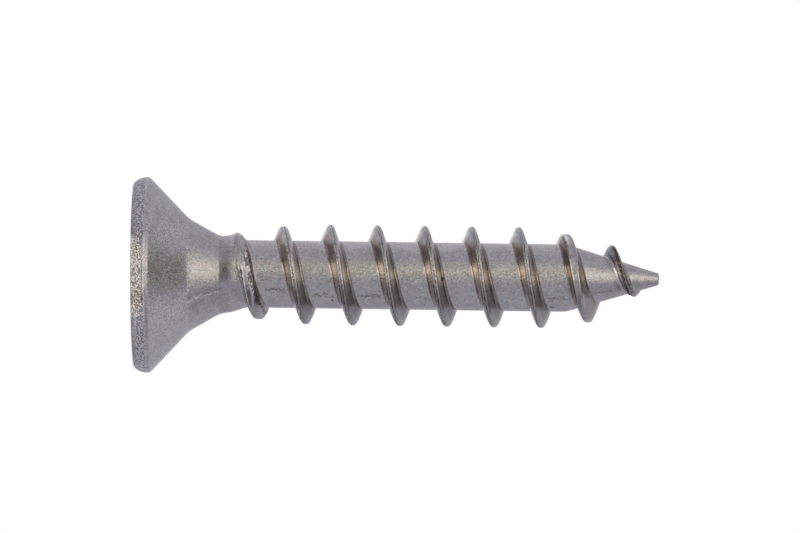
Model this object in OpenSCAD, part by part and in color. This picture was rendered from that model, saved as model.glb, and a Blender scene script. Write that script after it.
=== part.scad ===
// Chipboard screw with a countersunk head, a cross recess, and a coarse thread
// rolled up to the neck. One piece of steel.
// It stands on its head: the origin is the centre of the head's flat face,
// and +Z runs along the axis to the point. All sizes are in millimetres.

/* [Screw] */
// Overall length, from the head's face to the blunt point
length = 25; // [20:0.5:50]
// Diameter of the core between the threads
core_d = 3.18; // [2.8:0.02:3.5]
// How far the shank leans from the head's axis, in degrees: it is bent a little at the neck
lean = 0.8; // [0:0.1:2]

/* [Head] */
// Largest diameter of the head, at its rim
head_d = 9.26; // [8.5:0.02:10.5]
// Height of the rim, from the face to where the countersink starts
rim_h = 0.77; // [0.6:0.01:1]
// How far the edge of the flat face lies in from the rim
face_inset = 0.25; // [0.1:0.01:0.4]
// Radius at the edge of the face
face_round = 0.22; // [0.05:0.01:0.25]
// Height at which the crowned rim reaches its full width
crown_h = 0.36; // [0.25:0.01:0.45]
// Radius that crowns the rim
crown_round = 0.6; // [0.1:0.1:0.8]
// Radius between the rim and the countersink
rim_round = 0.24; // [0.05:0.01:0.3]
// Included angle of the countersink
countersink_angle = 93; // [85:1:100]

/* [Neck] */
// Diameter where the countersink turns into the steeper flare
flare_d = 5.1; // [4.6:0.1:5.6]
// Included angle of the flare
flare_angle = 56; // [50:1:64]
// Radius between the countersink and the flare
flare_round = 2.8; // [1:0.1:3.5]
// Diameter of the plain neck
neck_d = 3.66; // [3.6:0.02:4]
// Radius between the flare and the neck
neck_round = 1.05; // [0.5:0.05:1.3]
// Length of the plain neck
neck_len = 0.58; // [0.5:0.02:1]
// Step in radius where the rolled shank leaves the head's end of the neck
shoulder = 0.02; // [0.01:0.01:0.05]
// Included angle of the step from the neck down to the core
step_angle = 38; // [30:1:60]
// Radius at each end of that step
step_round = 0.35; // [0.1:0.05:0.5]

/* [Point] */
// Included angle of the tapered point
point_angle = 33.5; // [28:0.5:45]
// Diameter of the blunt end
tip_d = 0.52; // [0.4:0.02:1]
// Radius at the blunt end's edge
tip_round = 0.12; // [0.05:0.01:0.15]
// Radius where the core turns into the point
point_round = 1.5; // [0.5:0.1:3]

/* [Thread] */
// Outer diameter of the thread
thread_d = 4.75; // [4.4:0.05:5.2]
// Distance from one turn to the next
pitch = 2.24; // [1.9:0.02:2.8]
// Width of the full thread's crest
crest_w = 0.13; // [0.08:0.01:0.3]
// Radius, drawn as a bevel, on the crest's edges
crest_round = 0.03; // [0.01:0.01:0.04]
// Angle of the flank that faces the head, off the square to the axis
head_flank = 21; // [17:1:26]
// Angle of the flank that faces the point
point_flank = 18; // [15:1:26]
// Height up the neck at which the thread starts, above the flare's end
thread_start = 0.1; // [0:0.02:0.3]
// Plain length left between the thread's end and the blunt point
thread_gap = 0.85; // [0.6:0.05:1.5]
// Direction in which the thread's first section faces, about the axis
start_angle = 72; // [0:1:359]

/* [Drive recess] */
// Width across two opposite wings, at the face
recess_d = 5; // [4.6:0.1:5.4]
// Width across two opposite wings, at the bottom
recess_end_d = 2.3; // [2:0.1:2.6]
// Depth of the wings
recess_depth = 2.6; // [2.2:0.1:2.8]
// Width of one wing
wing_w = 1.15; // [0.9:0.05:1.3]
// Diameter of the round middle, at the face
hub_d = 2.7; // [2.4:0.1:3.2]
// Included angle of the cone at the very bottom
bottom_angle = 140; // [118:1:160]
// Width across two opposite corner ribs, at the face
rib_d = 3.7; // [3.4:0.1:4]
// Width of one corner rib
rib_w = 0.42; // [0.3:0.02:0.5]
// Depth of the corner ribs
rib_depth = 2.1; // [1.6:0.1:2.4]
// Length of the radial tick pressed into the face beyond each rib
tick_len = 0.95; // [0.6:0.05:1.1]
// Width of one tick
tick_w = 0.16; // [0.1:0.02:0.24]
// Depth of one tick
tick_depth = 0.08; // [0.04:0.02:0.14]

/* [Hidden] */

steel = [0.62, 0.61, 0.6];
arc_steps = 8;      // flats that draw each rounded corner of the profile
turn_steps = 48;    // sections in one turn of the thread
sink = 0.12;        // how far the thread's root lies below the surface it stands on
overcut = 0.5;      // how far the recess's cutters pass the face
bend_share = 0.6;   // share of the neck's length that lies below the bend
tick_gap = 0.15;    // plain face between a rib and its tick

core_r = core_d / 2;
head_r = head_d / 2;
flare_r = flare_d / 2;
neck_r = neck_d / 2;
shank_neck_r = neck_r - shoulder;
tip_r = tip_d / 2;
thread_r = thread_d / 2;

// Heights of the profile's corners, each from the one before it
flare_z = rim_h + (head_r - flare_r) / tan(countersink_angle / 2);
neck_z = flare_z + (flare_r - neck_r) / tan(flare_angle / 2);
bend_z = neck_z + neck_len * bend_share;
step_z = neck_z + neck_len;
core_z = step_z + (shank_neck_r - core_r) / tan(step_angle / 2);
point_z = length - (core_r - tip_r) / tan(point_angle / 2);

// Corners of each half profile: radius, height and the radius that rounds it.
// The shank starts inside the neck, so that it can lean there
head_profile = [
    [0, 0, 0],
    [head_r - face_inset, 0, face_round],
    [head_r, crown_h, crown_round],
    [head_r, rim_h, rim_round],
    [flare_r, flare_z, flare_round],
    [neck_r, neck_z, neck_round],
    [neck_r, bend_z, 0],
    [0, bend_z, 0]
];
shank_profile = [
    [0, neck_z, 0],
    [shank_neck_r, neck_z, 0],
    [shank_neck_r, step_z, step_round],
    [core_r, core_z, step_round],
    [core_r, point_z, point_round],
    [tip_r, length, tip_round],
    [0, length, 0]
];

// How much of the thread's height has filled in, by turns from its start:
// rolled metal rises slowly out of the neck
run_in = [[0, -0.05], [0.3, 0.21], [0.8, 0.69], [1.3, 0.86], [1.8, 0.97], [2.1, 1]];
// The same, by turns back from its end on the point
run_out = [[0, -0.06], [0.1, 0.09], [0.6, 0.43], [1.1, 0.73], [1.6, 0.62], [2.1, 1]];
// How far an unfilled crest stays blunt, by turns back from the end:
// the last turns are sharp although they are low
blunt = [[0.8, 0], [1.6, 1]];

first_z = neck_z + thread_start;
turns = (length - thread_gap - first_z) / pitch;
sections = ceil(turns * turn_steps);

function direction(from, to) = (to - from) / norm(to - from);

// The points that round one corner between its neighbours
function rounded(before, corner, after, radius) =
    let (
        back = direction(corner, before),
        ahead = direction(corner, after),
        half = acos(back * ahead) / 2,
        reach = radius / tan(half),
        centre = corner + direction([0, 0], back + ahead) * radius / sin(half),
        first = corner + back * reach - centre,
        last = corner + ahead * reach - centre,
        sweep = 180 - 2 * half
    )
    [for (i = [0 : arc_steps])
        let (t = sweep * i / arc_steps)
        centre + (first * sin(sweep - t) + last * sin(t)) / sin(sweep)];

// A half profile's outline, with its corners rounded
function outline(profile) = [
    for (i = [0 : len(profile) - 1])
        let (corner = [profile[i].x, profile[i].y])
        if (profile[i].z == 0) corner
        else each rounded(
            [profile[i - 1].x, profile[i - 1].y],
            corner,
            [profile[i + 1].x, profile[i + 1].y],
            profile[i].z)
];

// Radius of the plain shank at a height above the flare
function shank_r(z) = lookup(z, [
    [neck_z, shank_neck_r],
    [step_z, shank_neck_r],
    [core_z, core_r],
    [point_z, core_r],
    [length, tip_r]
]);

// One section of the thread, as points around its ridge
function ridge(turn) =
    let (
        left = turns - turn,
        z = first_z + pitch * turn,
        angle = start_angle + 360 * turn,
        floor_r = shank_r(z),
        fill = min(lookup(turn, run_in), lookup(left, run_out)),
        crest_r = floor_r + fill * (thread_r - floor_r),
        root_r = max(shank_r(z + pitch / 4) - sink, tip_r / 2),
        bevel = min(crest_round, (crest_r - root_r) / 2),
        unfilled = (thread_r - crest_r) * lookup(left, blunt)
    )
    [for (side = [-1, 1], i = [0 : 2])
        let (
            step = side < 0 ? i : 2 - i,
            slope = tan(side < 0 ? head_flank : point_flank),
            half_w = crest_w / 2 + unfilled * slope,
            r = [root_r, crest_r - bevel, crest_r][step],
            w = [half_w + (crest_r - root_r) * slope, half_w + bevel * slope, half_w - bevel][step]
        )
        [r * cos(angle), r * sin(angle), z + side * w]];

module thread() {
    around = 6; // points in one section
    last = sections * around;
    points = [for (i = [0 : sections]) each ridge(turns * i / sections)];
    sides = [
        for (i = [0 : sections - 1], k = [0 : around - 1])
            let (
                here = i * around + k,
                beside = i * around + (k + 1) % around
            )
            each [[here, beside, beside + around], [here, beside + around, here + around]]
    ];
    start_cap = [for (k = [around - 1 : -1 : 0]) k];
    end_cap = [for (k = [0 : around - 1]) last + k];
    polyhedron(points = points, faces = concat([start_cap], sides, [end_cap]), convexity = 10);
}

module head() {
    rotate_extrude($fn = 96) polygon(outline(head_profile));
}

// The core, its point and the thread, leaning from the place where the neck is bent
module shank() {
    translate([0, 0, bend_z]) rotate([0, lean, 0]) translate([0, 0, -bend_z]) {
        rotate_extrude($fn = 96) polygon(outline(shank_profile));
        thread();
    }
}

// A bar through the axis, kept inside a cone that narrows with depth
module tapered_bar(width, mouth_d, end_d, depth) {
    taper = (mouth_d - end_d) / depth;
    intersection() {
        translate([-mouth_d, -width / 2, -overcut]) cube([2 * mouth_d, width, overcut + depth]);
        translate([0, 0, -overcut])
            cylinder(h = overcut + depth, d1 = mouth_d + taper * overcut, d2 = end_d, $fn = 96);
    }
}

module recess() {
    hub_end_r = recess_end_d / 2;
    hub_taper = (hub_d / 2 - hub_end_r) / recess_depth;
    for (turn = [0, 90]) rotate(turn) {
        tapered_bar(wing_w, recess_d, recess_end_d, recess_depth);
        rotate(45) tapered_bar(rib_w, rib_d, hub_end_r * 2, rib_depth);
    }
    translate([0, 0, -overcut])
        cylinder(h = overcut + recess_depth, r1 = hub_d / 2 + hub_taper * overcut, r2 = hub_end_r, $fn = 96);
    translate([0, 0, recess_depth])
        cylinder(h = hub_end_r / tan(bottom_angle / 2), r1 = hub_end_r, r2 = 0, $fn = 96);
    for (turn = [45 : 90 : 315]) rotate(turn)
        translate([rib_d / 2 + tick_gap, -tick_w / 2, -overcut])
            cube([tick_len, tick_w, overcut + tick_depth]);
}

module screw() {
    color(steel) difference() {
        union() {
            head();
            shank();
        }
        recess();
    }
}

screw();
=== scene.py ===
import math
import bmesh
import bpy
from mathutils import Matrix, Vector


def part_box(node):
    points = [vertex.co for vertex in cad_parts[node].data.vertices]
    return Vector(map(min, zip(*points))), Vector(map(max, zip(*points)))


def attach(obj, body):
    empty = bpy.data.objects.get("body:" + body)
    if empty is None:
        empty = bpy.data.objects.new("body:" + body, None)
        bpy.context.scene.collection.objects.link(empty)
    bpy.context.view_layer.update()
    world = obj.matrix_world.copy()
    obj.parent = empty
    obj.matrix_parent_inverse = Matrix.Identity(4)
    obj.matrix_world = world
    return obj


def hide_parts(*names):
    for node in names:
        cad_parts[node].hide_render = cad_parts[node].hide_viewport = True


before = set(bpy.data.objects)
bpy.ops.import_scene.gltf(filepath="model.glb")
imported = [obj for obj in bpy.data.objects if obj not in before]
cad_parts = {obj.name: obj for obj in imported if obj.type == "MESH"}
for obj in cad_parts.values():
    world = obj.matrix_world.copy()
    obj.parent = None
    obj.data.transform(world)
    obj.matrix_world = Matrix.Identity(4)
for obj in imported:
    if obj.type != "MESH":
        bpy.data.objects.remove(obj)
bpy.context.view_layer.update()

screwLow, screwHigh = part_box("screw")
mm = 0.001        # the sizes below are in millimetres


class Wire:
    # one output of a node, used like a number in an expression
    def __init__(self, graph, socket):
        self.graph = graph
        self.socket = socket

    def __add__(self, other):
        return self.graph.math("ADD", self, other)

    def __sub__(self, other):
        return self.graph.math("SUBTRACT", self, other)

    def __rsub__(self, other):
        return self.graph.math("SUBTRACT", other, self)

    def __mul__(self, other):
        return self.graph.math("MULTIPLY", self, other)

    def __truediv__(self, other):
        return self.graph.math("DIVIDE", self, other)

    def __rtruediv__(self, other):
        return self.graph.math("DIVIDE", other, self)

    def __neg__(self):
        return self.graph.math("MULTIPLY", self, -1)

    __radd__ = __add__
    __rmul__ = __mul__

    def output(self, name):
        return Wire(self.graph, self.socket.node.outputs[name])


class Graph:
    # makes the nodes of one tree, for a material, the world or a shape
    def __init__(self, tree):
        self.tree = tree

    def plug(self, socket, value):
        if isinstance(value, list):
            for one in value:
                self.plug(socket, one)
        elif isinstance(value, Wire):
            self.tree.links.new(value.socket, socket)
        else:
            socket.default_value = value

    # settings come first, then the values or links of the sockets
    def node(self, kind, settings=None, inputs=None, output=0):
        made = self.tree.nodes.new(kind)
        for name, value in (settings or {}).items():
            if name == "curve":
                self.drawCurve(made.mapping, value)
            elif name == "items":
                while len(made.index_switch_items) < value:
                    made.index_switch_items.new()
            else:
                setattr(made, name, value)
        for name, value in (inputs or {}).items():
            self.plug(made.inputs[name], value)
        return Wire(self, made.outputs[output]) if made.outputs else made

    def drawCurve(self, mapping, points):
        mapping.use_clip = False
        line = mapping.curves[0]
        while len(line.points) < len(points):
            line.points.new(0.5, 0.5)
        for spot, place in zip(line.points, points):
            spot.location = place
        mapping.update()

    def math(self, operation, *values):
        return self.node("ShaderNodeMath", {"operation": operation}, dict(enumerate(values)))

    # 0 below low and 1 above high, with a soft step between; low may be the larger one
    def step(self, value, low, high):
        inputs = {"Value": value, "From Min": low, "From Max": high}
        return self.node("ShaderNodeMapRange", {"interpolation_type": "SMOOTHSTEP"}, inputs)

    # 1 at the middle and 0 a width away on either side
    def bump(self, value, middle, width):
        return self.step(self.math("ABSOLUTE", value - middle), width, 0)

    # 1 between full and fading, and 0 before start and after end
    def span(self, value, start, full, fading, end):
        return self.step(value, start, full) * self.step(value, end, fading)

    def mixNumber(self, share, first, second):
        return self.node("ShaderNodeMix", {"data_type": "FLOAT"}, {0: share, 2: first, 3: second})

    def mixVector(self, share, first, second):
        return self.node("ShaderNodeMix", {"data_type": "VECTOR"}, {0: share, 4: first, 5: second}, 1)

    def mixColour(self, share, first, second, blend="MIX"):
        settings = {"data_type": "RGBA", "blend_type": blend}
        return self.node("ShaderNodeMix", settings, {0: share, 6: first, 7: second}, 2)

    def vector(self, x, y, z):
        return self.node("ShaderNodeCombineXYZ", None, {0: x, 1: y, 2: z})

    def parts(self, vector):
        split = self.node("ShaderNodeSeparateXYZ", None, {0: vector})
        return split, split.output("Y"), split.output("Z")

    # how long a flat vector with these two parts is
    def length(self, x, y):
        inputs = {"Vector": self.vector(x, y, 0.0)}
        return self.node("ShaderNodeVectorMath", {"operation": "LENGTH"}, inputs, "Value")

    # noise from 0 to 1, with this many grains to a unit of the vector
    def noise(self, vector, scale, detail=2.0, rough=0.5):
        inputs = {"Vector": vector, "Scale": scale, "Detail": detail, "Roughness": rough}
        return self.node("ShaderNodeTexNoise", None, inputs)

    # distance from the middle of the nearest cell
    def cells(self, vector, scale):
        inputs = {"Vector": vector, "Scale": scale, "Smoothness": 0.3}
        return self.node("ShaderNodeTexVoronoi", {"feature": "SMOOTH_F1"}, inputs)


screw = {
    # the outline, from the face up to the blunt end
    "length": screwHigh.z / mm,
    "headRadius": (screwHigh.y - screwLow.y) / 2 / mm + 0.01,
    "rimHeight": 0.77,
    "faceInset": 0.25,
    "faceRound": 0.3,
    "crownHeight": 0.36,
    "crownRound": 0.85,
    "rimRound": 0.24,
    "coneSlope": math.tan(math.radians(46.5)),
    "flareRadius": 2.66,
    "flareSlope": math.tan(math.radians(29.5)),
    "flareRound": 1.5,
    "neckRadius": 1.82,
    "neckBlend": 0.2,
    "neckLength": 0.58,
    "stepSlope": math.tan(math.radians(19)),
    "stepBlend": 0.03,
    "coreRadius": 1.59,
    "pointSlope": math.tan(math.radians(16.75)),
    "pointBlend": 0.09,
    "tipRadius": 0.26,
    "tipRound": 0.12,
    # the thread
    "threadRadius": 2.375,
    "pitch": 2.24,
    "crestWidth": 0.19,
    "crestBlend": 0.24,
    "rootBlend": 0.15,
    "headFlank": math.tan(math.radians(21)),
    "pointFlank": math.tan(math.radians(18)),
    "threadStart": 0.055,
    "threadGap": 0.85,
    "startSlope": 0.65,
    "startShare": 0.2,        # the direction of the thread's start, as a share of a turn
    # what the rolling dies left
    "seamDepth": 0.03,
    "lapDepth": 0.1,
    "chipDepth": 0.035,
    "foldPlace": 0.24,
    "burrDepth": 0.09,
    "waviness": 0.01,
    "rimWaviness": 0.03,
    "plating": 0.015,
    # the bend at the neck
    "lean": math.radians(0.786),
    "bendHeight": 4.446,
    "bendReach": 0.8,
    "bendShift": -0.068,
    # where the head, the shank and the blunt end meet
    "headSeam": 3.5,
    "tipSeam": 0.35,
}
screwCounts = {"sections": 256, "columns": 30, "headRings": 52, "tipRings": 8}

# how far each column stands from its crest, as (share of the columns, share of half a pitch): close
# together on the crest and at the root
columnSpread = [(0, 0), (3 / 15, 0.09), (6 / 15, 0.25), (10 / 15, 0.41), (12 / 15, 0.54), (1, 1)]

# how full the ridge is, by turns from its start and by turns back from its end
runIn = [
    (-0.4, -0.6), (-0.1, -0.2), (0, -0.05), (0.3, 0.27),
    (0.8, 0.69), (1.3, 0.86), (1.8, 0.97), (2.1, 1),
]
runOut = [
    (-0.4, -0.6), (-0.1, -0.25), (0, -0.06), (0.1, 0.09),
    (0.6, 0.43), (1.1, 0.73), (1.6, 0.62), (2.1, 1),
]

# where the rolling left its marks on the ridge, by turns: each mark rises between the first two
# numbers and fades between the last two
rolledSpans = {
    "laps": (0.34, 0.44, 0.62, 0.72),
    "chips": (0.43, 0.48, 0.58, 0.66),
    "fold": (0.49, 0.55, 0.7, 0.78),
    "sharpCrest": (0.3, 0.4, 0.6, 0.72),
    "wideCrest": (0.3, 0.6, 0.9, 1.3),
    "tear": (0.4, 0.45, 0.8, 0.95),
    "parting": (0.49, 0.55, 0.8, 0.95),
    "foldEdge": (0.49, 0.55, 0.62, 0.72),
    "paleFlank": (0.655, 0.7, 0.85, 0.95),
    # these go by turns back from the thread's end
    "burr": (0.08, 0.2, 0.5, 0.62),
    "burrGrooves": (0.14, 0.24, 0.56, 0.66),
    "burrSide": (0.3, 0.45, 0.7, 0.85),
}


# a curve through (turn, fill) points, held flat past its ends
def fillCurve(g, turn, points):
    first, last = points[0][0], points[-1][0]
    lowest = points[0][1]
    scaled = [((t - first) / (last - first), (f - lowest) / (1 - lowest)) for t, f in points]
    place = g.math("MINIMUM", g.math("MAXIMUM", (turn - first) / (last - first), 0), 1)
    filled = g.node("ShaderNodeFloatCurve", {"curve": scaled}, {"Value": place})
    return filled * (1 - lowest) + lowest


# heights that follow from the sizes; size may hold numbers or wires
def heights(size):
    flare = size["rimHeight"] + (size["headRadius"] - size["flareRadius"]) / size["coneSlope"]
    neck = flare + (size["flareRadius"] - size["neckRadius"]) / size["flareSlope"]
    step = neck + size["neckLength"]
    point = size["length"] - (size["coreRadius"] - size["tipRadius"]) / size["pointSlope"]
    first = neck + size["threadStart"]
    turns = (size["length"] - size["threadGap"] - first) / size["pitch"]
    crest = first - size["startShare"] * size["pitch"]        # the first crest's height at +X
    return {"flare": flare, "neck": neck, "step": step, "point": point, "crest": crest, "turns": turns}


# radius of the body without its thread
def bodyRadius(g, size, high, z):
    flare = size["flareRadius"] - (z - high["flare"]) * size["flareSlope"]
    neck = g.math("SMOOTH_MAX", flare, size["neckRadius"], size["neckBlend"])
    step = size["neckRadius"] - (z - high["step"]) * size["stepSlope"]
    stepped = g.math("SMOOTH_MIN", neck, step, size["stepBlend"])
    core = g.math("SMOOTH_MAX", stepped, size["coreRadius"], size["stepBlend"])
    point = size["coreRadius"] - (z - high["point"]) * size["pointSlope"]
    return g.math("SMOOTH_MIN", core, point, size["pointBlend"])


# a grid whose x and y both run from 0 to 1
def unitGrid(g, across, along):
    inputs = {"Size X": 1.0, "Size Y": 1.0, "Vertices X": across, "Vertices Y": along}
    grid = g.node("GeometryNodeMeshGrid", None, inputs)
    x, y = g.parts(g.node("GeometryNodeInputPosition"))[:2]
    return grid, x + 0.5, y + 0.5


def wrapRound(g, grid, share, radius, z):
    angle = share * math.tau
    place = g.vector(radius * g.math("COSINE", angle), radius * g.math("SINE", angle), z)
    return g.node("GeometryNodeSetPosition", None, {"Geometry": grid, "Position": place})


# the outline through these corners, each (radius, height, rounding), turned round the axis
def revolve(g, size, corners, rings, spread):
    index = g.node("GeometryNodeInputIndex")
    places = g.node("GeometryNodeIndexSwitch", {"data_type": "VECTOR", "items": len(corners)},
                    {0: index, **{i + 1: g.vector(c[0], 0, c[1]) for i, c in enumerate(corners)}})
    rounds = g.node("GeometryNodeIndexSwitch", {"data_type": "FLOAT", "items": len(corners)},
                    {0: index, **{i + 1: c[2] for i, c in enumerate(corners)}})
    line = g.node("GeometryNodeMeshLine", None, {"Count": len(corners)})
    line = g.node("GeometryNodeSetPosition", None, {"Geometry": line, "Position": places})
    curve = g.node("GeometryNodeMeshToCurve", None, {"Mesh": line})
    curve = g.node("GeometryNodeFilletCurve", {"mode": "POLY"},
                   {"Curve": curve, "Count": 10, "Radius": rounds})
    grid, share, along = unitGrid(g, size["sections"] + 1, rings + 1)
    along = g.node("ShaderNodeFloatCurve", {"curve": spread}, {"Value": along})
    spot = g.node("GeometryNodeSampleCurve", {"mode": "FACTOR"}, {"Curves": curve, "Factor": along})
    outline = g.parts(spot.output("Position"))
    return wrapRound(g, grid, share, outline[0], outline[2])


# noise that runs along the ridge, and the sideways wander of a torn edge, in millimetres
def unevenness(g, share, z):
    angle = share * math.tau
    place = g.vector(g.math("COSINE", angle) * 2.2, g.math("SINE", angle) * 2.2, z)
    coarse, fine = g.noise(place, 2.2, 2), g.noise(place, 7, 2)
    return place, coarse, fine, (coarse - 0.5) * 0.16 + (fine - 0.5) * 0.12


# chips along the torn edge at the thread's start: how much they show, and the gaps between them
def chips(g, place, turn, away, jagged):
    zone = g.bump(away, jagged + 0.12, 0.14) * g.span(turn, *rolledSpans["chips"])
    drawn = g.node("ShaderNodeVectorMath", {"operation": "MULTIPLY"}, {0: place, 1: (0.75, 0.75, 1.7)})
    return zone, g.step(g.cells(drawn, 4.6), 0.42, 0.58)


# grooves that run along the burr, as a wave from -1 to 1
def burrWave(g, away, coarse, fine):
    return g.math("SINE", away * 36 + (coarse - 0.5) * 4 + (fine - 0.5) * 3)


# folds that the thread rolling left on the ridge: a seam along the crest, jagged laps where
# the thread starts, and a grooved burr where it ends
def rollingMarks(g, size, share, z, turn, left, away, halfWidth):
    place, coarse, fine, jagged = unevenness(g, share, z)
    full = g.step(turn, 0.9, 1.6) * g.step(left, 1.75, 2.0)
    broken = g.step(fine, 0.42, 0.58)
    seam = g.bump(away, (coarse - 0.5) * 0.12, 0.04) * full * broken * size["seamDepth"]
    lapPlace = halfWidth + jagged + 0.05
    lapShare = g.span(turn, *rolledSpans["laps"])
    lap = g.bump(away, lapPlace, 0.07) * lapShare * size["lapDepth"]
    lip = g.bump(away, lapPlace - 0.08, 0.07) * lapShare * size["lapDepth"] * 0.45
    chipZone, chipGaps = chips(g, place, turn, away, jagged)
    lip = lip - chipZone * chipGaps * size["chipDepth"]
    foldShare = g.span(turn, *rolledSpans["fold"])
    fold = g.bump(away, jagged * 0.3 - size["foldPlace"], 0.05) * foldShare * size["lapDepth"]
    burrShare = g.span(left, *rolledSpans["burr"])
    ribs = burrWave(g, away, coarse, fine) * 0.5 - 0.5
    burr = ribs * burrShare * g.step(g.math("ABSOLUTE", away), 0.3, 0.1) * size["burrDepth"]
    return lip - seam - lap - fold + burr + (fine - 0.5) * 0.02


# the shank: its columns follow the helix, so that every crest and root has its own line of points
def threadedShank(g, size, high):
    crest = high["crest"]
    turnsDrawn = g.math("CEIL", (size["length"] - crest) / size["pitch"] + 0.5) + 1
    columns = size["columns"] * turnsDrawn
    grid, share, along = unitGrid(g, size["sections"] + 1, columns + 1)
    column = g.math("ROUND", along * columns)
    turnNumber = g.math("FLOOR", (column + 0.5) / size["columns"])
    side = (column / size["columns"] - turnNumber) * 2 - 1        # -1 to 1 across one turn
    apart = g.node("ShaderNodeFloatCurve", {"curve": columnSpread}, {"Value": g.math("ABSOLUTE", side)})
    shift = apart * g.math("SIGN", side) * 0.5
    turn = turnNumber - 1 + share - size["startShare"]
    crestHeight = crest + (turnNumber - 1 + share) * size["pitch"]
    z = crestHeight + shift * size["pitch"]
    z = g.math("MAXIMUM", g.math("MINIMUM", z, size["length"] - size["tipSeam"]), size["headSeam"])
    left = high["turns"] - turn
    body = bodyRadius(g, size, high, z)
    floor = bodyRadius(g, size, high, crestHeight)
    fill = g.math("MINIMUM", fillCurve(g, turn, runIn), fillCurve(g, left, runOut))
    crestRadius = floor + fill * g.math("MAXIMUM", size["threadRadius"] - floor, 0.4)
    blunt = g.step(left, 0.8, 1.6)
    away = z - crestHeight
    slope = g.mixNumber(g.math("GREATER_THAN", away, 0), size["headFlank"], size["pointFlank"])
    halfWidth = size["crestWidth"] / 2 + (size["threadRadius"] - crestRadius) * blunt * slope
    halfWidth = halfWidth + g.span(turn, *rolledSpans["wideCrest"]) * 0.01
    # the first half turn has a narrow crest, most of all on the side of the head
    halfWidth = halfWidth * (1 - g.step(turn, 0.55, 0.35) * g.step(away, 0, -0.05) * 0.75)
    halfWidth = halfWidth * (1 - g.step(turn, 0.45, 0.25) * 0.45)
    slope = slope + g.step(turn, 0.5, 0.3) * 0.5
    flank = crestRadius - (g.math("ABSOLUTE", away) - halfWidth) / slope
    # at its start the ridge slopes gently into the neck, with no valley between them
    filled = g.step(turn, 0.62, 0.5) * g.step(away, 0, -0.05)
    gentle = crestRadius - (g.math("ABSOLUTE", away) - halfWidth) * size["startSlope"]
    flank = g.mixNumber(filled, flank, g.math("MINIMUM", gentle, size["neckRadius"] + 0.12))
    # its edge is sharp where it is torn, and rounder on the next ridge
    blend = size["crestBlend"] + g.bump(turn, 0.95, 0.3) * 0.1
    blend = blend - g.span(turn, *rolledSpans["sharpCrest"]) * 0.14
    ridge = g.math("SMOOTH_MIN", crestRadius, flank, blend)
    ridge = ridge + rollingMarks(g, size, share, z, turn, left, away, halfWidth)
    present = g.step(turn, -0.3, -0.1) * g.step(left, -0.3, -0.1)
    radius = g.math("SMOOTH_MAX", body, ridge - (1 - present) * 3, size["rootBlend"])
    return wrapRound(g, grid, share, radius, z)


# the whole surface before the recess is cut
def screwTree(material):
    tree = bpy.data.node_groups.new("screwShape", "GeometryNodeTree")
    for name in screw:
        tree.interface.new_socket(name, in_out="INPUT", socket_type="NodeSocketFloat")
    for name in screwCounts:
        tree.interface.new_socket(name, in_out="INPUT", socket_type="NodeSocketInt")
    tree.interface.new_socket("Geometry", in_out="OUTPUT", socket_type="NodeSocketGeometry")
    g = Graph(tree)
    given = g.node("NodeGroupInput")
    size = {name: given.output(name) for name in [*screw, *screwCounts]}
    high = heights(size)

    headTop = bodyRadius(g, size, high, size["headSeam"])
    faceRadius = size["headRadius"] - size["faceInset"]
    head = revolve(g, size, [
        (0.0, 0.0, 0.0),
        (faceRadius, 0.0, size["faceRound"]),
        (size["headRadius"], size["crownHeight"], size["crownRound"]),
        (size["headRadius"], size["rimHeight"], size["rimRound"]),
        (size["flareRadius"], high["flare"], size["flareRound"]),
        (headTop, size["headSeam"], 0.0),
    ], size["headRings"], [(0, 0), (0.12, 0.44), (0.46, 0.6), (0.86, 0.9), (1, 1)])

    tipHeight = size["length"] - size["tipSeam"]
    tip = revolve(g, size, [
        (bodyRadius(g, size, high, tipHeight), tipHeight, 0.0),
        (size["tipRadius"], size["length"], size["tipRound"]),
        (0.0, size["length"], 0.0),
    ], size["tipRings"], [(0, 0), (1, 1)])

    shank = threadedShank(g, size, high)
    whole = g.node("GeometryNodeJoinGeometry", None, {0: [head, shank, tip]})
    whole = g.node("GeometryNodeMergeByDistance", None, {"Geometry": whole, "Distance": 1e-4})

    # the whole surface is a little uneven, the rim most
    place = g.node("GeometryNodeInputPosition")
    x, y, z = g.parts(place)
    flat = {"Vector": g.vector(x, y, 0.0)}
    outward = g.node("ShaderNodeVectorMath", {"operation": "NORMALIZE"}, flat)
    rim = g.span(z, 0.1, 0.25, 0.7, 0.85)
    depth = (g.noise(place, 0.9, 2) - 0.5) * size["waviness"]
    depth = depth + (g.noise(place, 4.5, 1) - 0.5) * rim * size["rimWaviness"] + size["plating"]
    offset = g.node("ShaderNodeVectorMath", {"operation": "SCALE"}, {"Vector": outward, "Scale": depth})
    whole = g.node("GeometryNodeSetPosition", None, {"Geometry": whole, "Offset": offset})

    # the shank leans from the bend in the neck
    x, y, z = g.parts(g.node("GeometryNodeInputPosition"))
    above = z - size["bendHeight"]
    sine, cosine = g.math("SINE", size["lean"]), g.math("COSINE", size["lean"])
    bent = g.vector(x * cosine + above * sine + size["bendShift"], y,
                    size["bendHeight"] + above * cosine - x * sine)
    share = g.step(above, size["bendReach"] * -0.5, size["bendReach"] * 0.5)
    whole = g.node("GeometryNodeSetPosition", None,
                   {"Geometry": whole, "Position": g.mixVector(share, g.vector(x, y, z), bent)})

    whole = g.node("GeometryNodeTransform", None, {"Geometry": whole, "Scale": (mm, mm, mm)})
    whole = g.node("GeometryNodeRealizeInstances", None, {"Geometry": whole})
    whole = g.node("GeometryNodeSetMaterial", None, {"Geometry": whole, "Material": material})
    g.node("NodeGroupOutput", None, {"Geometry": whole})
    return tree


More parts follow.
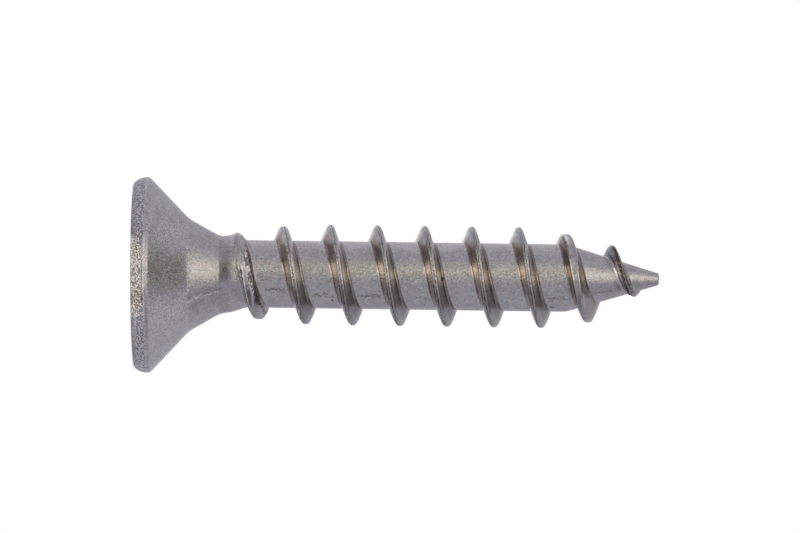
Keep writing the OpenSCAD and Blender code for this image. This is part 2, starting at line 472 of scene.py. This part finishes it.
# runs a tree on an empty mesh and keeps the plain result
def shapeFromTree(name, tree, values):
    holder = bpy.data.objects.new(name + "Holder", bpy.data.meshes.new(name + "Empty"))
    bpy.context.collection.objects.link(holder)
    modifier = holder.modifiers.new("shape", "NODES")
    modifier.node_group = tree
    for item in tree.interface.items_tree:
        if item.in_out == "INPUT":
            modifier[item.identifier] = values[item.name]
    graph = bpy.context.evaluated_depsgraph_get()
    mesh = bpy.data.meshes.new_from_object(holder.evaluated_get(graph))
    bpy.data.objects.remove(holder)
    mesh.name = name
    return mesh


def pointOutwards(mesh):
    work = bmesh.new()
    work.from_mesh(mesh)
    bmesh.ops.recalc_face_normals(work, faces=work.faces)
    work.to_mesh(mesh)
    work.free()


recess = {
    "mouthRadius": 2.5,
    "endRadius": 1.15,
    "depth": 2.6,
    "wingWidth": 1.15,
    "hubRadius": 1.35,
    "bottomDepth": 0.42,
    "ribRadius": 1.85,
    "ribWidth": 0.42,
    "ribDepth": 2.1,
    "cornerBlend": 0.12,
    "ribBlend": 0.05,
    "mouthLip": 0.07,        # the mouth's edge is pressed a little wider
    "tickStart": 2.0,
    "tickLength": 0.95,
    "tickWidth": 0.16,
    "tickFloorShare": 0.6,        # width of a tick's floor, as a share of its width at the face
    "tickDepth": 0.08,
    "overcut": 0.5,        # how far the cutter passes the face
    "tickOvercut": 0.3,
    "sections": 240,
}


# the cross recess and its four ticks, as one closed cutter
def recessCutter():
    size = recess
    count = size["sections"]
    depths = [-size["overcut"], 0.0, 0.03, 0.07, 0.4, 0.9, 1.4, 1.9, 2.08, 2.14, 2.4, size["depth"]]

    def smoothMax(a, b, blend):
        overlap = max(blend - abs(a - b), 0) / blend
        return max(a, b) + overlap ** 3 * blend / 6

    def barReach(angle, start, width, reach):
        off = (angle - start + math.pi / 4) % (math.pi / 2) - math.pi / 4
        across = width / 2 / max(abs(math.sin(off)), 1e-6)
        return -smoothMax(-across, -reach, size["cornerBlend"])

    def reachAt(angle, depth):
        share = min(max(depth / size["depth"], 0), 1)
        lip = size["mouthLip"] * max(1 - max(depth, 0) / size["mouthLip"], 0)
        hub = size["hubRadius"] + (size["endRadius"] - size["hubRadius"]) * share
        wing = size["mouthRadius"] + (size["endRadius"] - size["mouthRadius"]) * share
        reach = smoothMax(hub, barReach(angle, 0, size["wingWidth"], wing), size["cornerBlend"])
        ribShare = depth / size["ribDepth"]
        rib = size["ribRadius"] + (size["endRadius"] - size["ribRadius"]) * min(max(ribShare, 0), 1)
        reach = smoothMax(reach, barReach(angle, math.pi / 4, size["ribWidth"], rib), size["ribBlend"])
        return reach + lip

    work = bmesh.new()
    rings = []
    for depth in depths:
        ring = []
        for i in range(count):
            angle = math.tau * i / count
            reach = reachAt(angle, depth)
            ring.append(work.verts.new((reach * math.cos(angle), reach * math.sin(angle), depth)))
        rings.append(ring)
    for lower, upper in zip(rings, rings[1:]):
        for i in range(count):
            work.faces.new((lower[i], lower[(i + 1) % count], upper[(i + 1) % count], upper[i]))
    for ring, height in ((rings[0], depths[0]), (rings[-1], size["depth"] + size["bottomDepth"])):
        pole = work.verts.new((0, 0, height))
        for i in range(count):
            work.faces.new((ring[i], ring[(i + 1) % count], pole))
    for turn in range(4):
        box = bmesh.ops.create_cube(work, size=1)["verts"]
        for corner in box:
            x, y, z = corner.co
            out = size["tickStart"] + size["tickLength"] * (x + 0.5)
            across = y * size["tickWidth"]
            if z < 0:
                corner.co = (out, across, -size["tickOvercut"])
            else:
                corner.co = (out, across * size["tickFloorShare"], size["tickDepth"])
        turned = Matrix.Rotation(math.pi / 4 + math.pi / 2 * turn, 4, "Z")
        bmesh.ops.transform(work, matrix=turned, verts=box)
    bmesh.ops.scale(work, vec=(mm, mm, mm), verts=work.verts)
    bmesh.ops.recalc_face_normals(work, faces=work.faces)
    mesh = bpy.data.meshes.new("recessCutter")
    work.to_mesh(mesh)
    work.free()
    cutter = bpy.data.objects.new("recessCutter", mesh)
    bpy.context.collection.objects.link(cutter)
    return cutter


steel = {
    "plain": (0.53, 0.5, 0.48, 1),
    "headFlank": (0.51, 0.398, 0.33, 1),        # rolling oil has browned the flanks
    "pointFlank": (0.378, 0.316, 0.284, 1),
    # near-black painted shade for the tears, folds and grooves
    "paintedCreaseShade": (0.09, 0.07, 0.06, 1),
    "stain": (0.2, 0.13, 0.07, 1),
    # a painted warm highlight on the crests' front and back
    "crestTint": (1.02, 0.98, 0.94, 1),
    "yellowTint": (0.99, 1.0, 0.93, 1),        # tint of the painted highlight band on the core's front
    # painted reflection tints of the rim: warm in front, bluish at its ends
    "rimFrontTint": (1.02, 0.975, 0.94, 1),
    "rimEndTint": (0.96, 0.98, 1.12, 1),
    "coolTint": (0.98, 1.0, 1.02, 1),
    "warmTint": (1.025, 1.0, 0.975, 1),
    "roughness": 0.2,
    "flankRoughness": 0.1,
}
# how far each pattern rises or sinks, in millimetres
relief = {
    "grain": 0.016,
    "drawnLines": 0.012,
    "rolledLines": 0.01,
    "neckFold": 0.02,
    "rimLine": 0.012,
    "pebble": 0.045,
    "crack": 0.03,
    "chip": 0.04,
}
# how much lighter or darker than its surroundings each mark is; many are painted light and shade: dark
# seams, cracks, pits, creases, grooves and neck shade, and light folds, chips and fronts
toneChanges = {
    "seam": -0.5,
    "crack": -0.45,
    "pits": -0.6,
    "specks": -0.2,
    "neckFold": 0.18,
    "neckFrontShade": -1.0,
    "neckSideShade": -1.0,
    "creases": -0.3,
    "flareFront": -0.04,
    "coneLow": 0.06,
    "rimPebbles": 1.0,
    "rimGroove": -0.35,
    "rimShade": -0.2,
    "foldEdge": 0.4,
    "chips": 1.0,
    "coreFront": 1.0,
    "burrSide": 0.6,
    "tipFront": 0.1,
}
# where the single marks lie: degrees round the axis, and in some the height in millimetres
marks = {
    "wireSeam": 297,
    "hole": (274, 14.74),
    "pit": (263, 4.4),
    "neckShadePatch": 264,
    "neckCrease": 226,
    "flareCrease": 264,
    "paintedFrontBand": 264.6,        # the side facing the lamps, where the highlight band is painted
    "flareFront": 268.2,
    "stain": 293.4,
}
# between which heights some marks lie: they rise between the first two and fade between the last
markSpans = {
    "cone": (0.75, 0.9, 2.7, 2.9),
    "neckFold": (2.5, 2.7, 4.2, 4.5),
    "flareCrease": (2.8, 3.0, 3.75, 3.9),
    "flareFront": (2.9, 3.1, 4.0, 4.15),
    "scratches": (3.2, 3.6, 4.2, 4.6),
    "neckCrease": (3.7, 3.85, 4.5, 4.7),
    "neckSideShade": (4.05, 4.15, 4.5, 4.75),
    "valley": (0.6, 0.78, 1.58, 1.72),        # this one is measured up from the crest below
}


# x, y and z in millimetres, with the shank's lean taken out
def straightPlace(g):
    place = g.node("ShaderNodeTexCoord").output("Object")
    place = g.node("ShaderNodeVectorMath", {"operation": "SCALE"}, {"Vector": place, "Scale": 1 / mm})
    x, y, z = g.parts(place)
    above = z - screw["bendHeight"]
    x = x - g.math("MAXIMUM", above, 0) * math.tan(screw["lean"])
    x = x - g.step(above, -screw["bendReach"] / 2, screw["bendReach"] / 2) * screw["bendShift"]
    return x, y, z


class Spot:
    # one point of the surface: its place in millimetres and on the helix, and the noise there
    def __init__(self, g):
        self.x, self.y, self.z = straightPlace(g)
        self.place = g.vector(self.x, self.y, self.z)
        self.radius = g.length(self.x, self.y)
        high = heights(screw)
        self.share = g.math("FRACT", g.math("ARCTAN2", self.y, self.x) / math.tau)
        phase = (self.z - high["crest"]) / screw["pitch"] - self.share
        self.number = g.math("ROUND", phase)
        self.turn = self.number + self.share - screw["startShare"]
        self.left = high["turns"] - self.turn        # turns back from the thread's end
        # how far it lies from the nearest crest, upwards, and from the crest below it
        self.away = (phase - self.number) * screw["pitch"]
        self.distance = g.math("ABSOLUTE", self.away)
        self.fromCrest = (phase - g.math("FLOOR", phase)) * screw["pitch"]
        self.headSide = g.step(self.away, 0, -0.05)
        self.pointSide = g.step(self.away, 0, 0.05)
        self.shank = g.step(self.z, 4.6, 5.1)
        self.core = g.step(self.distance, 0.4, 0.5) * self.shank
        self.coarse = g.noise(self.place, 1.3, 3, 0.6)
        self.middling = g.noise(self.place, 4.2, 3, 0.6)
        self.grain = g.noise(self.place, 13, 3, 0.75)
        self.drawn = g.noise(g.vector(self.x * 11, self.y * 11, self.z * 1.6), 1, 3, 0.6)
        self.wander = (g.noise(self.place, 1.7, 1) - 0.5) * 0.5 + (g.noise(self.place, 6, 1) - 0.5) * 0.3
        ridge = unevenness(g, self.share, self.z)
        self.ridgePlace, self.ridgeCoarse, self.ridgeFine, self.jagged = ridge

    # how far the point lies round the screw from this angle, measured at this radius
    def roundFrom(self, degrees, radius):
        return (self.share - degrees / 360) * math.tau * radius


# browned flanks, with bare crests between them that have a seam
def ridgeMasks(g, at):
    # the bare band lies nearer the head than the crest's middle, and narrows at the lower edge
    lowered = g.step(at.x, 0.6, 1.6) * 0.03
    fromBand = g.math("ABSOLUTE", at.away + 0.05 + lowered) + lowered
    # the brown starts later on the head's side, and reaches less far down the first ridge
    begun = g.mixNumber(at.pointSide, g.step(at.turn, 0.8, 1.0), g.step(at.turn, 0.42, 0.455))
    foot = g.mixNumber(g.step(at.turn, 0.72, 0.6), 0.49, 0.39)
    bandEdge = g.mixNumber(g.step(at.turn, 0.6, 0.72), at.jagged + 0.27, 0.1)
    flank = g.step(at.distance - foot, 0, -0.05) * g.step(fromBand - bandEdge, 0, 0.04) * at.shank
    flank = flank * begun * g.step(at.left, 0.85, 1.0)
    flank = flank * (1 - g.span(at.turn, *rolledSpans["paleFlank"]) * 0.75)
    # the crest's seam is painted as a dark line, the shade in its fold
    seam = g.bump(at.away, (at.middling - 0.5) * 0.2 - 0.02, 0.035)
    seam = seam * g.step(at.middling, 0.36, 0.46)
    return {
        "flank": flank,
        "crest": g.step(fromBand, 0.13, 0.09) * at.shank * g.step(at.turn, 0.3, 0.6),
        "seam": seam * g.step(at.turn, 0.6, 1.4) * g.step(at.left, 1.75, 2.0),
    }


# the rim's pebbled skin ends at a groove and a raised line in front, and at the cone elsewhere; the
# pebbles are painted lighter with dark outlines as their shade, and the groove is painted dark as shade
def rimMasks(g, at):
    fromLine = g.math("ABSOLUTE", at.x + 0.55)
    inFront = g.step(fromLine, 1.5, 1.1) * g.step(at.y, 0, -1)
    ends = g.step(g.math("ABSOLUTE", at.x), 1.3, 2.4)
    rim = g.step(at.z - g.mixNumber(inFront, 0.68, 0.56), 0, -0.08)
    warped = at.middling * 0.05
    pebbles = g.cells(g.vector(at.x + warped, at.y + warped, at.z * 0.85), 12.5)
    outlines = g.step(pebbles, 0.36, 0.6)
    return {
        "rim": rim,
        "rimEnds": ends,
        "rimPebbles": rim * (0.25 - ends * 0.06 - outlines * (0.85 - ends * 0.25)),
        "rimHollows": rim * pebbles * pebbles,
        "rimShade": rim * g.span(fromLine, 1.1, 1.3, 1.7, 2.1),
        "rimGroove": g.bump(at.z + (at.middling - 0.5) * 0.06, 0.57, 0.07) * inFront,
        "rimLine": g.bump(at.z, 0.67, 0.035) * inFront,
    }


# at its start the ridge is torn along its edge, and a fold parts it from the neck; at its end it
# is a grooved burr, with a stain at its foot. The tear, the fold and the grooves are painted near-black
# as their shade, and the fold's edge and the chips are painted highlights
def tornMasks(g, at):
    tear = g.bump(at.away, at.jagged + 0.28, 0.04) * g.span(at.turn, *rolledSpans["tear"])
    foldPath = at.jagged * 0.3 - screw["foldPlace"]
    parting = g.bump(at.away, foldPath, 0.03) * g.span(at.turn, *rolledSpans["parting"])
    chipZone, chipGaps = chips(g, at.ridgePlace, at.turn, at.away, at.jagged)
    grooves = g.step(burrWave(g, at.away, at.ridgeCoarse, at.ridgeFine), 0.3, -0.5) * 0.85
    split = g.bump(at.away, (at.ridgeCoarse - 0.5) * 0.1 + 0.02, 0.11) * g.step(at.grain, 0.7, 0.6)
    grooves = g.math("MAXIMUM", grooves, split) * g.step(at.distance, 0.27, 0.18)
    grooves = grooves * g.span(at.left, *rolledSpans["burrGrooves"])
    stain = g.bump(at.away + (at.middling - 0.5) * 0.3, -0.45, 0.2)
    stain = stain * g.bump(at.share, marks["stain"] / 360, 0.09)
    return {
        "torn": g.math("MINIMUM", tear + parting + grooves, 1),
        "foldEdge": g.bump(at.away, foldPath + 0.07, 0.05) * g.span(at.turn, *rolledSpans["foldEdge"]),
        "chips": chipZone * (0.45 - chipGaps),
        "chipHollows": chipZone * chipGaps,
        "stain": g.step(stain, 0.05, 0.75) * g.step(at.z, 22.0, 22.3) * g.step(at.grain, 0.62, 0.46),
        "burrSide": g.bump(at.away, -0.22, 0.16) * g.span(at.left, *rolledSpans["burrSide"]),
    }


# one thin crooked crack, broken into short stretches; the seed picks which
def crackAlong(g, across, z, seed):
    crooked = (g.noise(g.vector(seed, 0.0, z), 3.0, 2, 0.7) - 0.5) * 0.7
    shown = g.step(g.noise(g.vector(seed + 4, 0.0, z), 2.6, 1), 0.4, 0.46)
    return g.step(g.math("ABSOLUTE", across - crooked), 0.045, 0.012) * shown


# the wire had a lengthwise seam: a wavy fold on the flare, broken into cracks between the ridges
def wireMasks(g, at):
    fromSeam = at.roundFrom(marks["wireSeam"], screw["coreRadius"])
    path = fromSeam - g.step(at.z, 7.0, 8.4) * 0.28
    crack = crackAlong(g, path, at.z, 1.0) + crackAlong(g, path - 0.08, at.z, 9.0) * 0.5
    crack = g.math("MINIMUM", crack, 1) * g.span(at.fromCrest, *markSpans["valley"])
    crack = crack * g.step(at.grain, 0.36, 0.46) * at.shank
    crack = crack * (g.step(at.z, 12.2, 11.8) + g.step(at.z, 19.4, 19.6))
    holeAngle, holeHeight = marks["hole"]
    fromHole = g.length(at.roundFrom(holeAngle, screw["coreRadius"]), at.z - holeHeight)
    # a painted highlight band along the core's front (lighter, more grainy and yellowish there), and a
    # lighter front on the point
    paintedFrontBand = g.bump(at.share, marks["paintedFrontBand"] / 360, 0.075) * g.step(at.z, 21.7, 21.2) * at.core
    scratched = g.span(at.z, *markSpans["scratches"]) + at.core
    return {
        # the cracks, the small hole and the pits are painted dark as their shade
        "crack": g.math("MAXIMUM", crack, g.step(fromHole, 0.085, 0.06) * 1.5),
        "pits": g.step(g.noise(at.place, 3.1, 1), 0.74, 0.79) * at.shank,
        "specks": g.step(g.noise(at.place, 7.5, 2), 0.62, 0.72) * at.core,
        "scratch": g.step(at.drawn, 0.62, 0.72) * scratched,
        "paintedFrontBand": paintedFrontBand,
        "coreFront": paintedFrontBand * (g.step(at.z, 6, 18) * 0.13 - 0.06),
        "tipFront": g.step(at.z, 21.2, 21.8) * g.bump(at.share, marks["paintedFrontBand"] / 360, 0.1),
        # a painted highlight along the wavy fold, which is also raised a little
        "neckFold": g.bump(fromSeam + at.wander, 0, 0.09) * g.span(at.z, *markSpans["neckFold"]),
    }


# painted shade: a dark patch on the neck's front with a small ring-shaped pit in it, and a crease each
# on neck and flare painted as a dark line; the flare's front is painted a little darker and the cone's
# lower side lighter
def neckMasks(g, at):
    neckShadePatch = g.math("ABSOLUTE", at.roundFrom(marks["neckShadePatch"], screw["neckRadius"]) + at.wander * 0.4)
    neckShadePatch = g.step(neckShadePatch, 0.68, 0.22) * g.step(at.z, 4.1, 4.16)
    neckShadePatch = neckShadePatch * g.step(at.z + at.wander * 0.5, 4.85, 4.45)
    pitAngle, pitHeight = marks["pit"]
    fromPit = g.length(at.roundFrom(pitAngle, screw["neckRadius"]), at.z - pitHeight)
    neckCrease = at.roundFrom(marks["neckCrease"], screw["neckRadius"]) + at.wander * 0.1
    neckCrease = g.bump(neckCrease, 0, 0.035) * g.span(at.z, *markSpans["neckCrease"])
    flareCrease = at.roundFrom(marks["flareCrease"], screw["flareRadius"]) + at.wander * 0.1
    flareCrease = g.bump(flareCrease, 0.02, 0.03) * g.span(at.z, *markSpans["flareCrease"])
    flareFront = g.bump(at.share, marks["flareFront"] / 360, 0.1)
    # painted shade over the neck, darker or lighter by the side it faces
    neckSideShade = g.step(at.x, -2, 0) * 0.1 + g.step(at.x, -0.3, -1) * 0.16
    return {
        "neckFrontShade": neckShadePatch * 0.55 + g.bump(fromPit, 0.08, 0.045) * 0.3,
        "neckSideShade": neckSideShade * g.span(at.z, *markSpans["neckSideShade"]),
        "creases": neckCrease + flareCrease,
        "flareFront": flareFront * g.span(at.z, *markSpans["flareFront"]),
        "coneLow": g.span(at.z, *markSpans["cone"]) * g.step(at.x, 0.9, 1.8),
    }


# painted light and shade: the brown is darker and lighter in turn round each ridge, by the side it faces
def flankLightAndShade(g, at, mask):
    early = g.step(at.turn, 3.4, 2.4)
    headSide = mask["flank"] * at.headSide
    pointSide = mask["flank"] * at.pointSide
    changes = [
        mask["flank"] * g.step(at.turn, 0.74, 0.66) * -0.3,
        headSide * g.bump(at.turn, 1.5, 0.15) * -0.3,
        headSide * (g.bump(at.x, -0.7, 0.25) * 0.3 + g.bump(at.x, 0.7, 0.35) * 0.2
                    + g.bump(at.left, 1.4, 0.35) * 0.3) * -1,
        headSide * g.step(at.x, -1.05, -1.3) * g.step(at.turn, 2, 4) * 0.3,
        pointSide * (early * g.step(at.x, 0.9, 0.6) * 0.18 - g.step(at.distance, 0.36, 0.43) * 0.3
                     - g.step(at.x, 0.95, 1.3) * g.step(at.left, 1.7, 2.1) * (early * 0.14 + 0.33)),
        at.headSide * g.step(at.x, -1.5, -1.75) * g.step(at.turn, 0.9, 1.1) * 0.58,
    ]
    tone = 1 + changes[0]
    for change in changes[1:]:
        tone = tone * (1 + change)
    return tone


# painted light and shade: the crest is brightest in front and darker towards the lower edge
def crestLightAndShade(g, at, mask):
    early = g.step(at.turn, 3.4, 2.4)
    lower = g.step(at.x, 0.05, 0.4) * 0.2 + g.span(at.x, 0.4, 1.0, 1.3, 1.7) * (early * 0.17 + 0.25)
    bright = g.bump(at.x, 0, 0.5) * 0.05 + (at.middling - 0.5) * 0.9 + 0.03
    return (1 - mask["crest"] * lower) * (1 + mask["crest"] * bright)


# how much lighter or darker each point is than its plain colour, painted light and shade included
def surfaceTone(g, at, mask):
    grainShare = mask["paintedFrontBand"] * 1.3 + g.step(at.z, 2.9, 2.7) + 1.4
    tone = (at.grain - 0.5) * grainShare + (at.coarse - 0.5) * 0.35 + (at.middling - 0.5) * 0.5 + 1
    tone = tone + mask["scratch"] * 0.12
    for name, change in toneChanges.items():
        tone = tone * (1 + mask[name] * change)
    return tone * flankLightAndShade(g, at, mask) * crestLightAndShade(g, at, mask)


def surfaceColour(g, at, mask):
    worn = g.step(at.radius, 2.2, 1.85)        # the brown is rubbed off towards the crest
    browned = g.mixColour(g.step(at.away, -0.02, 0.02), steel["headFlank"], steel["pointFlank"])
    colour = g.mixColour(mask["flank"] * worn, steel["plain"], browned)
    colour = g.mixColour(mask["stain"] * 0.62, colour, steel["stain"])
    # painted shade in the tears, folds and grooves
    colour = g.mixColour(mask["torn"] * 0.9, colour, steel["paintedCreaseShade"])
    patches = g.step(g.noise(at.place, 3.3, 2), 0.35, 0.65)
    warmth = g.mixColour(patches, steel["coolTint"], steel["warmTint"])
    # painted reflections: the rim is tinted warm in front and bluish at its ends
    rimTint = g.mixColour(mask["rimEnds"], steel["rimFrontTint"], steel["rimEndTint"])
    # a painted warm highlight on the crests, where they face front or back
    crestFacingWarmth = mask["crest"] * g.step(g.math("ABSOLUTE", at.x), 2.0, 1.3)
    tints = [
        (1.0, warmth),
        (mask["paintedFrontBand"] * (at.middling + 0.4), steel["yellowTint"]),
        (mask["rim"], rimTint),
        (crestFacingWarmth, steel["crestTint"]),
        (1.0, surfaceTone(g, at, mask)),
    ]
    for share, tint in tints:
        colour = g.mixColour(share, colour, tint, "MULTIPLY")
    return colour


def surfaceHeight(g, at, mask):
    rolled = g.noise(g.vector(at.away * 22, at.share * 9, at.number * 3), 1, 2, 0.6)
    height = (at.grain - 0.5) * (1 - mask["flank"] * 0.7) * relief["grain"]
    height = height + (at.drawn - 0.5) * at.core * relief["drawnLines"]
    height = height + (rolled - 0.5) * mask["flank"] * relief["rolledLines"]
    height = height + (mask["rimLine"] - mask["rimGroove"]) * relief["rimLine"]
    height = height + mask["neckFold"] * relief["neckFold"] - mask["chipHollows"] * relief["chip"]
    height = height - (mask["crack"] + mask["seam"] + mask["torn"]) * relief["crack"]
    return height - mask["rimHollows"] * relief["pebble"]


def steelMaterial():
    material = bpy.data.materials.new("steel")
    material.use_nodes = True
    material.node_tree.nodes.clear()
    g = Graph(material.node_tree)
    at = Spot(g)
    mask = {}
    for masksOf in (ridgeMasks, rimMasks, tornMasks, wireMasks, neckMasks):
        mask.update(masksOf(g, at))
    height = surfaceHeight(g, at, mask)
    normal = g.node("ShaderNodeBump", None, {"Strength": 1.0, "Distance": mm, "Height": height})
    rough = g.mixNumber(mask["flank"], steel["roughness"], steel["flankRoughness"])
    shader = g.node("ShaderNodeBsdfPrincipled", None, {
        "Base Color": surfaceColour(g, at, mask),
        "Metallic": 1.0,
        "Roughness": rough + (at.middling - 0.5) * 0.08 - mask["scratch"] * 0.05,
        "Normal": normal,
    })
    g.node("ShaderNodeOutputMaterial", None, {"Surface": shader})
    return material


sharpFrom = math.radians(62)        # edges of the recess are above this and stay sharp


def makeScrew():
    material = steelMaterial()
    mesh = shapeFromTree("screwBody", screwTree(material), {**screw, **screwCounts})
    pointOutwards(mesh)
    piece = bpy.data.objects.new("screwBody", mesh)
    bpy.context.collection.objects.link(piece)
    print("screw surface:", len(mesh.polygons), "faces")
    cutter = recessCutter()
    cut = piece.modifiers.new("recess", "BOOLEAN")
    cut.solver = "MANIFOLD"
    cut.object = cutter
    graph = bpy.context.evaluated_depsgraph_get()
    finished = bpy.data.meshes.new_from_object(piece.evaluated_get(graph))
    piece.modifiers.clear()
    piece.data = finished
    bpy.data.objects.remove(cutter)
    finished.shade_smooth()
    finished.set_sharp_from_angle(angle=sharpFrom)
    print("with its recess:", len(finished.polygons), "faces")
    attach(piece, "root")
    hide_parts("screw")
    return piece


view = {
    "distance": 800.0,        # from the axis of the screw, a long lens
    "tilt": math.radians(1.535),        # turned towards the point
    "aim": (-0.397, 0.0, 12.5),
    "along": 0.175,        # along the screw, so that it sits in the frame as in the photo
    "lens": 756.5,
}


def makeCamera():
    data = bpy.data.cameras.new("camera")
    data.lens = view["lens"]
    data.sensor_width = 36
    data.clip_start = 0.01
    data.clip_end = 20
    camera = bpy.data.objects.new("camera", data)
    bpy.context.collection.objects.link(camera)
    sine, cosine = math.sin(view["tilt"]), math.cos(view["tilt"])
    right, up, back = Vector((0, sine, cosine)), Vector((-1, 0, 0)), Vector((0, -cosine, sine))
    place = Vector(view["aim"]) + right * view["along"] + back * view["distance"]
    turned = Matrix((right, up, back)).transposed().to_4x4()
    camera.matrix_world = Matrix.Translation(place * mm) @ turned
    bpy.context.scene.camera = camera


studio = {
    "upperSide": (0.48, 0.495, 0.575, 1),
    "lowerSide": (0.46, 0.475, 0.555, 1),
    "lowerFar": (0.35, 0.36, 0.425, 1),        # past the point, on the side away from the lamps
    "underside": (0.2, 0.205, 0.235, 1),
    "frontStrip": (0.72, 0.715, 0.68, 1),
    "frontHigh": (0.66, 0.655, 0.62, 1),
    "behind": (0.66, 0.67, 0.74, 1),
    "behindLow": (0.44, 0.45, 0.525, 1),
    "behindHigh": (0.5, 0.51, 0.58, 1),
    "above": (0.6, 0.61, 0.69, 1),
    "top": (0.042, 0.053, 0.075, 1),
}


# white behind the object; the steel sees a room with a bright strip in front and dim sides
def makeWorld():
    world = bpy.data.worlds.new("studio")
    bpy.context.scene.world = world
    world.use_nodes = True
    world.node_tree.nodes.clear()
    g = Graph(world.node_tree)
    x, y, z = g.parts(g.node("ShaderNodeTexCoord"))
    steep = g.math("ABSOLUTE", z)
    lower = g.mixColour(g.step(z, 0.15, 0.5), studio["lowerSide"], studio["lowerFar"])
    room = g.mixColour(g.step(x, -0.3, 0.3), studio["upperSide"], lower)
    room = g.mixColour(g.step(z, -0.25, -0.5) * g.step(x, 0.1, -0.3), room, studio["underside"])
    back = g.mixColour(g.step(x, 0.1, 0.6), studio["behind"], studio["behindLow"])
    back = g.mixColour(g.step(z, 0.03, 0.2), back, studio["behindHigh"])
    room = g.mixColour(g.step(y, 0.0, 0.5) * g.step(z, -0.5, -0.2), room, back)
    room = g.mixColour(g.step(z, 0.7, 0.88) * g.step(y, -0.3, 0.2), room, studio["above"])
    # the strip is narrower level with the object than above and below it
    level = g.step(steep, 0.45, 0.2)
    middle, reach = g.mixNumber(level, -0.2, -0.38), g.mixNumber(level, 0.38, 0.25)
    softness = g.mixNumber(level, 0.08, 0.04)
    strip = g.step(g.math("ABSOLUTE", x - middle), reach + softness, reach - softness)
    strip = strip * g.step(y, 0.0, -0.15)
    front = g.mixColour(level, studio["frontHigh"], studio["frontStrip"])
    room = g.mixColour(strip, room, front)
    # it is dark straight above the point
    fromTop = g.length(x + 0.065, y - 0.06)
    room = g.mixColour(g.step(fromTop, 0.32, 0.19) * g.step(z, 0.0, 0.5), room, studio["top"])
    # in a mirror the white shows only straight behind the object
    path = g.node("ShaderNodeLightPath")
    mirrored = path.output("Is Glossy Ray") + path.output("Is Transmission Ray")
    mirrored = mirrored * g.step(y, 0.994, 0.999)
    light = g.mixColour(g.math("MAXIMUM", path.output("Is Camera Ray"), mirrored), room, (1, 1, 1, 1))
    background = g.node("ShaderNodeBackground", None, {"Color": light, "Strength": 1.0})
    g.node("ShaderNodeOutputWorld", None, {"Surface": background})


lamps = {
    # name: brightness, distance, sideways angle, elevation, width, height (mm and degrees)
    "upperSoftbox": (0.6, 500, -15, 49, 320, 380),
    "lowerSoftbox": (1.5, 500, -13, -42, 250, 300),
}

lampColour = (1, 0.96, 0.9)


def makeLamps():
    middle = Vector((0, 0, screw["length"] / 2))
    for name, (brightness, distance, azimuth, elevation, width, tall) in lamps.items():
        data = bpy.data.lights.new(name, "AREA")
        data.shape = "RECTANGLE"
        data.size = width * mm
        data.size_y = tall * mm
        data.energy = brightness * math.pi * data.size * data.size_y
        data.color = lampColour
        lamp = bpy.data.objects.new(name, data)
        bpy.context.collection.objects.link(lamp)
        aside, level = math.sin(math.radians(azimuth)), math.cos(math.radians(elevation))
        forwards, up = math.cos(math.radians(azimuth)), math.sin(math.radians(elevation))
        away = Vector((aside * level, -forwards * level, up))
        lamp.location = (middle + away * distance) * mm
        lamp.rotation_euler = away.to_track_quat("Z", "Y").to_euler()


floorLook = {
    "radius": 9.0,
    "drop": 0.02,        # below the face, so that the two don't lie in one plane
    "clearTo": 4.3,        # it is clear under the head, so that light reaches the recess
    "fadeFrom": 5.5,
    "shade": (0.45, 0.45, 0.45, 1),
    "seenShade": (0.9, 0.9, 0.9, 1),
    "glow": 0.65,
    "sideMirrored": 0.5,        # how much of the seen shade the steel mirrors
    "frontMirrored": 1.0,
}


# a small pale floor that keeps the shadow and fades into the white background at its edge
def makeFloor():
    work = bmesh.new()
    bmesh.ops.create_circle(work, cap_ends=True, segments=96, radius=floorLook["radius"] * mm)
    mesh = bpy.data.meshes.new("floor")
    bmesh.ops.translate(work, vec=(0, 0, -floorLook["drop"] * mm), verts=work.verts)
    work.to_mesh(mesh)
    work.free()
    floor = bpy.data.objects.new("floor", mesh)
    bpy.context.collection.objects.link(floor)
    material = bpy.data.materials.new("paleFloor")
    material.use_nodes = True
    material.node_tree.nodes.clear()
    g = Graph(material.node_tree)
    path = g.node("ShaderNodeLightPath")
    place = g.node("ShaderNodeTexCoord").output("Object")
    x, y = g.parts(place)[:2]
    reach = g.node("ShaderNodeVectorMath", {"operation": "LENGTH"}, {"Vector": place}, "Value")
    front = g.step(g.math("ABSOLUTE", x) / reach, 0.55, 0.35) * g.step(y, 0, -mm)
    mirrored = g.mixNumber(front, floorLook["sideMirrored"], floorLook["frontMirrored"])
    reflected = (path.output("Is Glossy Ray") + path.output("Is Transmission Ray")) * mirrored
    seen = g.math("MAXIMUM", path.output("Is Camera Ray"), reflected)
    shade = g.mixColour(seen, floorLook["shade"], floorLook["seenShade"])
    edge = g.step(reach, floorLook["fadeFrom"] * mm, floorLook["radius"] * mm)
    lit = g.node("ShaderNodeBsdfDiffuse", None, {"Color": shade})
    white = (1, 1, 1, 1)
    glow = g.node("ShaderNodeEmission", None, {"Color": white, "Strength": seen * floorLook["glow"]})
    plain = g.node("ShaderNodeEmission", None, {"Color": white, "Strength": seen})
    shadowed = g.node("ShaderNodeAddShader", None, {0: lit, 1: glow})
    shader = g.node("ShaderNodeMixShader", None, {0: edge, 1: shadowed, 2: plain})
    # from below it is clear, so that the face shows
    underHead = g.step(reach, floorLook["clearTo"] * mm, (floorLook["clearTo"] - 0.2) * mm)
    fromBelow = g.node("ShaderNodeNewGeometry").output("Backfacing")
    unseen = g.math("MAXIMUM", fromBelow, underHead)
    clear = g.node("ShaderNodeBsdfTransparent")
    shader = g.node("ShaderNodeMixShader", None, {0: unseen, 1: shader, 2: clear})
    g.node("ShaderNodeOutputMaterial", None, {"Surface": shader})
    mesh.materials.append(material)


bpy.context.scene.view_settings.view_transform = "Standard"
makeCamera()
makeWorld()
makeLamps()
makeFloor()
print("stage is set")
makeScrew()
